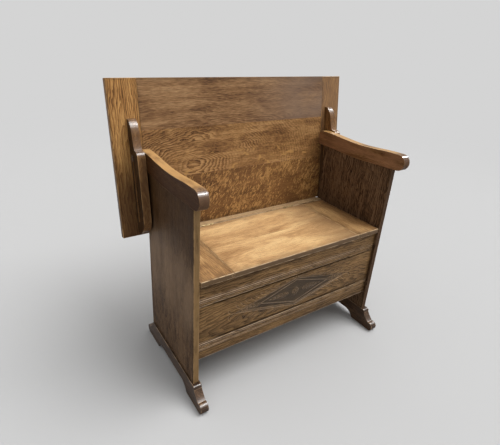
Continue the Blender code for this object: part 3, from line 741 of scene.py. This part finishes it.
def carving_stain(g, colour, place):
    """Old polish and dust darken the whole carved lozenge."""
    along, upward, _ = g.parts(g.attribute("spot", "Vector"))
    rise = CARVING_MIDDLE - (FRONT_HIGH.z - FRONT_LOW.z) / 2
    taken = g.math("ADD", g.math("DIVIDE", g.math("ABSOLUTE", along), LOZENGE_LONG * 0.86),
                   g.math("DIVIDE", g.math("ABSOLUTE", g.math("SUBTRACT", upward, rise)),
                          LOZENGE_TALL * 1.10))
    dark = mottled(g, place, g.span(taken, 1.30, 0.70), (30.0, 60.0, 60.0), 0.0, 0.40)
    return g.mix(g.math("MULTIPLY", dark, 0.66), colour, CARVING_STAINED)


def seat_grime_and_shade(g, colour, place):
    """The seat darkens towards its right end with streaks and painted shade, its front edge with grime and shade.
    """
    along = g.parts(g.attribute("spot", "Vector"))[0]
    # darker towards the right end: dark streaks, with the right side's shadow painted in
    dull = mottled(g, place, g.span(along, 0.06, 0.26), (8.0, 16.0, 16.0), 0.15, 0.60)
    colour = g.mix(g.math("MULTIPLY", dull, 0.75), colour, SEAT_STREAKS_AND_SHADE)
    # the front edge: grime from handling, with painted shade
    grime_and_shade = mottled(g, place, facing(g, 1, -0.55, -0.90), (10.0, 60.0, 60.0), 0.15, 0.45)
    return g.mix(grime_and_shade, colour, SEAT_EDGE_GRIME_AND_SHADE)


# ---------------------------------------------------------------- pieces

TOP_FLAT = oak("oak_top", (0.075, 0.028, 0.009), (0.262, 0.128, 0.044), (0.480, 0.270, 0.108),
               (0.46, 0.26, 0.10), rings=0.62, pith=(-0.215, -0.050), tilt=0.52, spacing=0.0068,
               figure=0.080, faded=0.19, flames=0.75, flecks=0.20, grime=0.30, mottle=1.1,
               wear=0.4)
TOP_UPPER = oak("oak_top_upper", (0.085, 0.036, 0.015), (0.270, 0.142, 0.060),
                (0.440, 0.262, 0.125), (0.46, 0.26, 0.10), rings=0.28, pith=(-0.20, -0.215),
                tilt=0.30, spacing=0.0078, figure=0.060, faded=0.3, grime=0.35, mottle=1.2,
                wear=0.4, extra=sheen_corner)
TOP_RAYED = oak("oak_top_rayed", (0.060, 0.023, 0.007), (0.175, 0.080, 0.026),
                (0.310, 0.152, 0.052), (0.46, 0.26, 0.10), rings=0.15, flecks=0.80, grime=0.40,
                contrast=0.7, wear=0.3)
CLAMPS = {side: oak(f"oak_top_{side}_clamp", (0.100, 0.038, 0.010), (0.400, 0.192, 0.058),
                    (0.600, 0.330, 0.110), (0.50, 0.28, 0.10), rings=0.45, spacing=0.0070,
                    pith=(0.1, 0.30), figure=0.060, grime=0.45, grime_reach=0.010,
                    extra=clamp_grey_and_shade(greyed))
          for side, greyed in (("left", 0.0), ("right", 0.55))}
BEARERS = oak("oak_bearers", (0.030, 0.012, 0.005), (0.150, 0.070, 0.024),
              (0.380, 0.200, 0.072), (0.45, 0.26, 0.11), rings=0.30, grime=0.15, specular=0.10,
              coat_on_top=1.0, gloss=0.34, extra=bearer_faces_and_shade)
PELLETS = oak("oak_pellets", (0.130, 0.066, 0.030), (0.185, 0.098, 0.046),
              (0.240, 0.130, 0.062), (0.30, 0.18, 0.09), rings=0.0, grime=0.0, contrast=0.4,
              mottle=0.2, specular=0.10, coat_on_top=1.0, gloss=0.34, wear=0.1)
ARMS = oak("oak_arms", (0.040, 0.016, 0.006), (0.165, 0.080, 0.031), (0.340, 0.185, 0.078),
           (0.50, 0.31, 0.14), rings=0.35, grime=0.2, coat_on_top=0.8, gloss=0.38,
           specular=0.04, wear=0.35, extra=arm_wear_and_shade)
SIDES = {side: oak(f"oak_{side}_side", (0.030, 0.015, 0.008), (0.092, 0.052, 0.028),
                   (0.205, 0.125, 0.070), edge, rings=0.45, spacing=0.0080, flecks=0.30,
                   figure=0.08, fleck_colour=(0.22, 0.125, 0.060), grime=0.35, specular=0.04,
                   extra=panel_shade_and_sheen(front))
         for side, edge, front in (
             ("left", (0.42, 0.26, 0.12), (0.270, 0.165, 0.072, 1.0)),
             ("right", (0.16, 0.095, 0.055), (0.080, 0.045, 0.026, 1.0)))}
FEET = oak("oak_feet", (0.022, 0.011, 0.006), (0.065, 0.033, 0.016), (0.150, 0.082, 0.040),
           (0.34, 0.22, 0.13), rings=0.3, grime=0.35, grime_reach=0.010, specular=0.12,
           coat=0.10, coat_on_top=1.0, gloss=0.36)
FRONT = oak("oak_front", (0.036, 0.017, 0.006), (0.158, 0.088, 0.035), (0.330, 0.188, 0.076),
            (0.62, 0.46, 0.32), rings=0.30, spacing=0.0080, pith=(0.05, -0.05), tilt=0.14,
            figure=0.07, grime=0.50, contrast=0.75, specular=0.10, wear=0.85, rubbed=(0.22, 0.56),
            extra=carving_stain)
SEAT = oak("oak_seat", (0.300, 0.155, 0.060), (0.560, 0.335, 0.148), (0.730, 0.500, 0.240),
           (0.74, 0.55, 0.34), rings=0.14, spacing=0.0070, pith=(-0.05, -0.12), tilt=0.18,
           grime=0.55, grime_reach=0.030, contrast=0.5, mottle=1.5, gloss=0.40, wear=0.5,
           extra=seat_grime_and_shade)
SEAT_CLAMPS = oak("oak_seat_clamps", (0.150, 0.070, 0.026), (0.410, 0.228, 0.091),
                  (0.620, 0.400, 0.180), (0.70, 0.50, 0.29), rings=0.15, spacing=0.0075,
                  pith=(0.0, 0.16), tilt=0.2, grime=0.60, grime_reach=0.026, contrast=0.5,
                  mottle=1.3, extra=seat_grime_and_shade)
RAIL = oak("oak_rail", (0.130, 0.075, 0.035), (0.380, 0.240, 0.115), (0.560, 0.390, 0.220),
           (0.60, 0.45, 0.28), rings=0.3, grime=0.5, grime_reach=0.008)
PLAIN = oak("oak_plain", (0.090, 0.052, 0.026), (0.210, 0.135, 0.072), (0.340, 0.230, 0.130),
            (0.36, 0.25, 0.15), rings=0.35, grime=0.5, gloss=0.62, wear=0.3)
PEGS = oak("oak_pegs", (0.020, 0.010, 0.005), (0.055, 0.028, 0.013), (0.120, 0.062, 0.028),
           (0.26, 0.16, 0.09), rings=0.2, grime=0.1, grime_reach=0.002, coat=0.6, gloss=0.28)
BRASS = metal("old_brass", (0.34, 0.26, 0.13), (0.13, 0.095, 0.05), 0.42)
STEEL = metal("old_steel", (0.34, 0.33, 0.32), (0.13, 0.105, 0.085), 0.42)

# along the grain, across the board and through it
ON_FRONT = (X, Z, Y)
ON_SEAT = (X, Y, Z)
FRONT_TO_BACK = (Y, X, Z)
UPRIGHT = (Z, Y, X)
ON_EDGE = (Y, Z, X)
ON_TOP = (X, SLOPE, FRONTWARD)
UP_SLOPE = (SLOPE, X, FRONTWARD)
BEARER = (SLOPE, FRONTWARD, X)

LEAF_SCREW_R = 0.0024               # of a leaf screw's head
METAL_EDGE = 0.00015


def front_edge(node):
    """Picks the upper front edge of a piece of the lid."""
    low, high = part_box(node)

    def chosen(edge):
        return all(v.co.y < low.y + NEAR / 5 and v.co.z > high.z - NEAR / 5 for v in edge.verts)

    return chosen


def make_wood():
    """Every wooden piece, each with a seed of its own."""
    side_low, side_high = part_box("left_side_panel")
    width = side_high.y - side_low.y
    glue_lines = [side_low.y + width * share for share in (0.36, 0.71)]
    for number, side in enumerate(("left", "right")):
        seed = 1.0 + number * 4.3
        worked(f"{side}_side_panel", SIDES[side], UPRIGHT, seed, joints=glue_lines)
        worked(f"{side}_foot", FEET, ON_EDGE, seed + 0.5, radius=0.0014)
        worked(f"{side}_arm", ARMS, ON_EDGE, seed + 0.9, radius=0.0032, segments=4)
        worked(f"{side}_bearer", BEARERS, BEARER, seed + 1.3, radius=0.0013)
        worked(f"{side}_pivot_peg", PEGS, ON_SEAT, seed + 1.7, radius=0.0003)
        for spot in ("lower", "upper"):
            worked(f"{side}_{spot}_pellet", PELLETS, UP_SLOPE, seed + 2.1, radius=0.0003)
        for level in ("floor", "lid"):
            worked(f"{side}_{level}_batten", PLAIN, FRONT_TO_BACK, seed + 2.5)
        worked(f"top_{side}_clamp", CLAMPS[side], UP_SLOPE, seed + 2.9)
        worked(f"lid_{side}_clamp", SEAT_CLAMPS, FRONT_TO_BACK, seed + 3.3)

    top = ("top_lower_board", "top_middle_board", "top_upper_board")
    for node, finish, seed in zip(top, (TOP_RAYED, TOP_FLAT, TOP_UPPER), (11.1, 12.7, 13.9)):
        worked(node, finish, ON_TOP, seed, panel=top)
    seat = ("lid_front_board", "lid_rear_board")
    worked(seat[0], SEAT, ON_SEAT, 15.2, panel=seat, nose=(0.0028, front_edge(seat[0])))
    worked(seat[1], SEAT, ON_SEAT, 16.8, panel=seat)
    worked("seat_rail", RAIL, ON_SEAT, 17.5)
    back_low, back_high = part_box("back_panel")
    worked("back_panel", PLAIN, ON_FRONT, 18.6, joints=[(back_low.z + back_high.z) / 2 + 0.02])
    worked("box_floor", PLAIN, ON_SEAT, 19.3, joints=[0.0])
    carved_front(FRONT)


def slot_head(shape, radius):
    """Sink a driver's slot into the flat face of a screw's head."""
    head = max(shape.faces, key=lambda face: face.calc_area())
    normal, middle = head.normal.copy(), head.calc_center_median()
    across = normal.cross(X if abs(normal.x) < 0.5 else Z).normalized()
    wide, sink = radius * 0.16, radius * 0.30
    for offset in (-wide, wide):
        bmesh.ops.bisect_plane(shape, geom=shape.verts[:] + shape.edges[:] + shape.faces[:],
                               plane_co=middle + across * offset, plane_no=across)
    strip = [face for face in shape.faces
             if face.normal.dot(normal) > 0.99
             and abs((face.calc_center_median() - middle).dot(across)) < wide * 0.5
             and abs((face.calc_center_median() - middle).dot(normal)) < 0.0001]
    if not strip:
        return
    made = bmesh.ops.extrude_face_region(shape, geom=strip)
    lowered = [item for item in made["geom"] if isinstance(item, bmesh.types.BMVert)]
    bmesh.ops.translate(shape, verts=lowered, vec=-normal * sink)
    bmesh.ops.delete(shape, geom=strip, context="FACES_ONLY")


def make_metal():
    """Leaves, pins and screws, their edges just broken."""
    for node in frame["nodes"]:
        if SLOT_OF[node] not in ("brass", "steel"):
            continue
        finish = BRASS if SLOT_OF[node] == "brass" else STEEL
        shape = copy_of(node)
        ease(shape, METAL_EDGE)
        if "leaf_screw" in node:
            slot_head(shape, LEAF_SCREW_R)
        mesh = bpy.data.meshes.new("shown_" + node)
        shape.to_mesh(mesh)
        shape.free()
        finish_mesh(mesh)
        show(node, mesh, finish)


# ---------------------------------------------------------------- stage, light and camera

# from the corner of the object's box that is leftmost, foremost and highest
CAMERA_OFF = Vector((-0.3191, -0.7561, 0.1410))
CAMERA_YAW = 0.5964
CAMERA_PITCH = -0.4234
CAMERA_ROLL = 0.0602
CAMERA_LENS = 28.246
CAMERA_SHIFT = (0.0131, -0.0231)

BACKDROP = (0.658, 0.658, 0.658, 1.0)
FLOOR = (0.46, 0.46, 0.46, 1.0)
FLOOR_FADES = (1.6, 4.5)            # distances between which the floor turns into the backdrop
STAGE_WIDE = 12.0
STAGE_TALL = 8.0
SKY_LOW = 0.15
SKY_HIGH = 0.90
KEY = 2.9
KEY_FROM = (0.75, -0.5, 1.6)
KEY_SPREAD = math.radians(45)
GLINT = 1.5
GLINT_FROM = (1.3, 0.0, 1.0)
GLINT_SPREAD = math.radians(8)


def make_camera():
    data = bpy.data.cameras.new("camera")
    data.lens = CAMERA_LENS
    data.sensor_width = 36.0
    data.shift_x, data.shift_y = CAMERA_SHIFT
    camera = bpy.data.objects.new("camera", data)
    bpy.context.scene.collection.objects.link(camera)
    level = math.cos(CAMERA_PITCH)
    ahead = Vector((math.sin(CAMERA_YAW) * level, math.cos(CAMERA_YAW) * level,
                    math.sin(CAMERA_PITCH)))
    right = Vector((math.cos(CAMERA_YAW), -math.sin(CAMERA_YAW), 0.0))
    up = right.cross(ahead)
    tipped_right = math.cos(CAMERA_ROLL) * right + math.sin(CAMERA_ROLL) * up
    tipped_up = math.cos(CAMERA_ROLL) * up - math.sin(CAMERA_ROLL) * right
    turn = Matrix((tipped_right, tipped_up, -ahead)).transposed()
    camera.matrix_world = Matrix.Translation(
        Vector((CAD_LOW.x, CAD_LOW.y, CAD_HIGH.z)) + CAMERA_OFF) @ turn.to_4x4()
    bpy.context.scene.camera = camera


def disc_rings(shape, rings):
    """Rings of vertices, given as radius and height, joined by faces."""
    count = 64
    made = [[shape.verts.new((radius * math.cos(turn), radius * math.sin(turn), height))
             for turn in (math.tau * k / count for k in range(count))]
            for radius, height in rings]
    for inner, outer in zip(made, made[1:]):
        for k in range(count):
            following = (k + 1) % count
            shape.faces.new((inner[k], outer[k], outer[following], inner[following]))
    return made


def stage_object(name, shape, material):
    mesh = bpy.data.meshes.new(name)
    shape.to_mesh(mesh)
    shape.free()
    mesh.materials.append(material)
    piece = bpy.data.objects.new(name, mesh)
    bpy.context.scene.collection.objects.link(piece)
    return piece


def make_stage():
    """A pale floor that fades, far out, into an even backdrop that throws no light."""
    paper = Graph("backdrop")
    glow = paper.node("ShaderNodeEmission", {"Color": BACKDROP})
    paper.put(paper.tree.nodes["Material Output"].inputs["Surface"], glow.outputs[0])

    g = Graph("pale_floor")
    g.shader.inputs["Base Color"].default_value = FLOOR
    g.shader.inputs["Roughness"].default_value = 0.9
    g.shader.inputs["Specular IOR Level"].default_value = 0.1
    place = g.node("ShaderNodeTexCoord").outputs["Object"]
    reach = g.node("ShaderNodeVectorMath", {0: place}, operation="LENGTH").outputs["Value"]
    glow = g.node("ShaderNodeEmission", {"Color": BACKDROP})
    blend = g.node("ShaderNodeMixShader", {0: g.span(reach, *FLOOR_FADES),
                                           1: g.shader.outputs[0], 2: glow.outputs[0]})
    g.put(g.tree.nodes["Material Output"].inputs["Surface"], blend.outputs[0])

    shape = bmesh.new()
    rings = disc_rings(shape, [(1.0, 0.0), (STAGE_WIDE, 0.0)])
    shape.faces.new(rings[0])
    stage_object("floor", shape, g.material)
    shape = bmesh.new()
    rings = disc_rings(shape, [(STAGE_WIDE, 0.0), (STAGE_WIDE, STAGE_TALL),
                               (STAGE_WIDE / 3, STAGE_TALL * 1.5)])
    shape.faces.new(rings[-1])
    backdrop = stage_object("backdrop", shape, paper.material)
    backdrop.visible_diffuse = False
    backdrop.visible_glossy = False
    backdrop.visible_shadow = False


def make_sun(name, place, energy, spread):
    """A far lamp that shines from place towards the middle."""
    data = bpy.data.lights.new(name, "SUN")
    data.energy = energy
    data.angle = spread
    lamp = bpy.data.objects.new(name, data)
    lamp.location = place
    lamp.rotation_mode = "QUATERNION"
    lamp.rotation_quaternion = (-Vector(place)).to_track_quat("-Z", "Y")
    bpy.context.scene.collection.objects.link(lamp)
    return lamp


def make_light():
    """A soft key from the front right, a sky brightest overhead, and glints on polished edges."""
    world = bpy.data.worlds.new("studio")
    world.use_nodes = True
    tree = world.node_tree
    upward = tree.nodes.new("ShaderNodeSeparateXYZ")
    tree.links.new(tree.nodes.new("ShaderNodeTexCoord").outputs["Generated"], upward.inputs[0])
    strength = tree.nodes.new("ShaderNodeMapRange")
    strength.inputs["From Min"].default_value = 0.0
    strength.inputs["To Min"].default_value = SKY_LOW
    strength.inputs["To Max"].default_value = SKY_HIGH
    tree.links.new(upward.outputs[2], strength.inputs["Value"])
    tree.links.new(strength.outputs[0], tree.nodes["Background"].inputs["Strength"])
    tree.nodes["Background"].inputs["Color"].default_value = (1.0, 1.0, 1.0, 1.0)
    bpy.context.scene.world = world
    make_sun("key", KEY_FROM, KEY, KEY_SPREAD)
    for name, place in (("upper_glint", KEY_FROM), ("side_glint", GLINT_FROM)):
        make_sun(name, place, GLINT, GLINT_SPREAD).visible_diffuse = False
    bpy.context.scene.view_settings.view_transform = "Standard"


make_wood()
make_metal()
make_stage()
make_light()
make_camera()
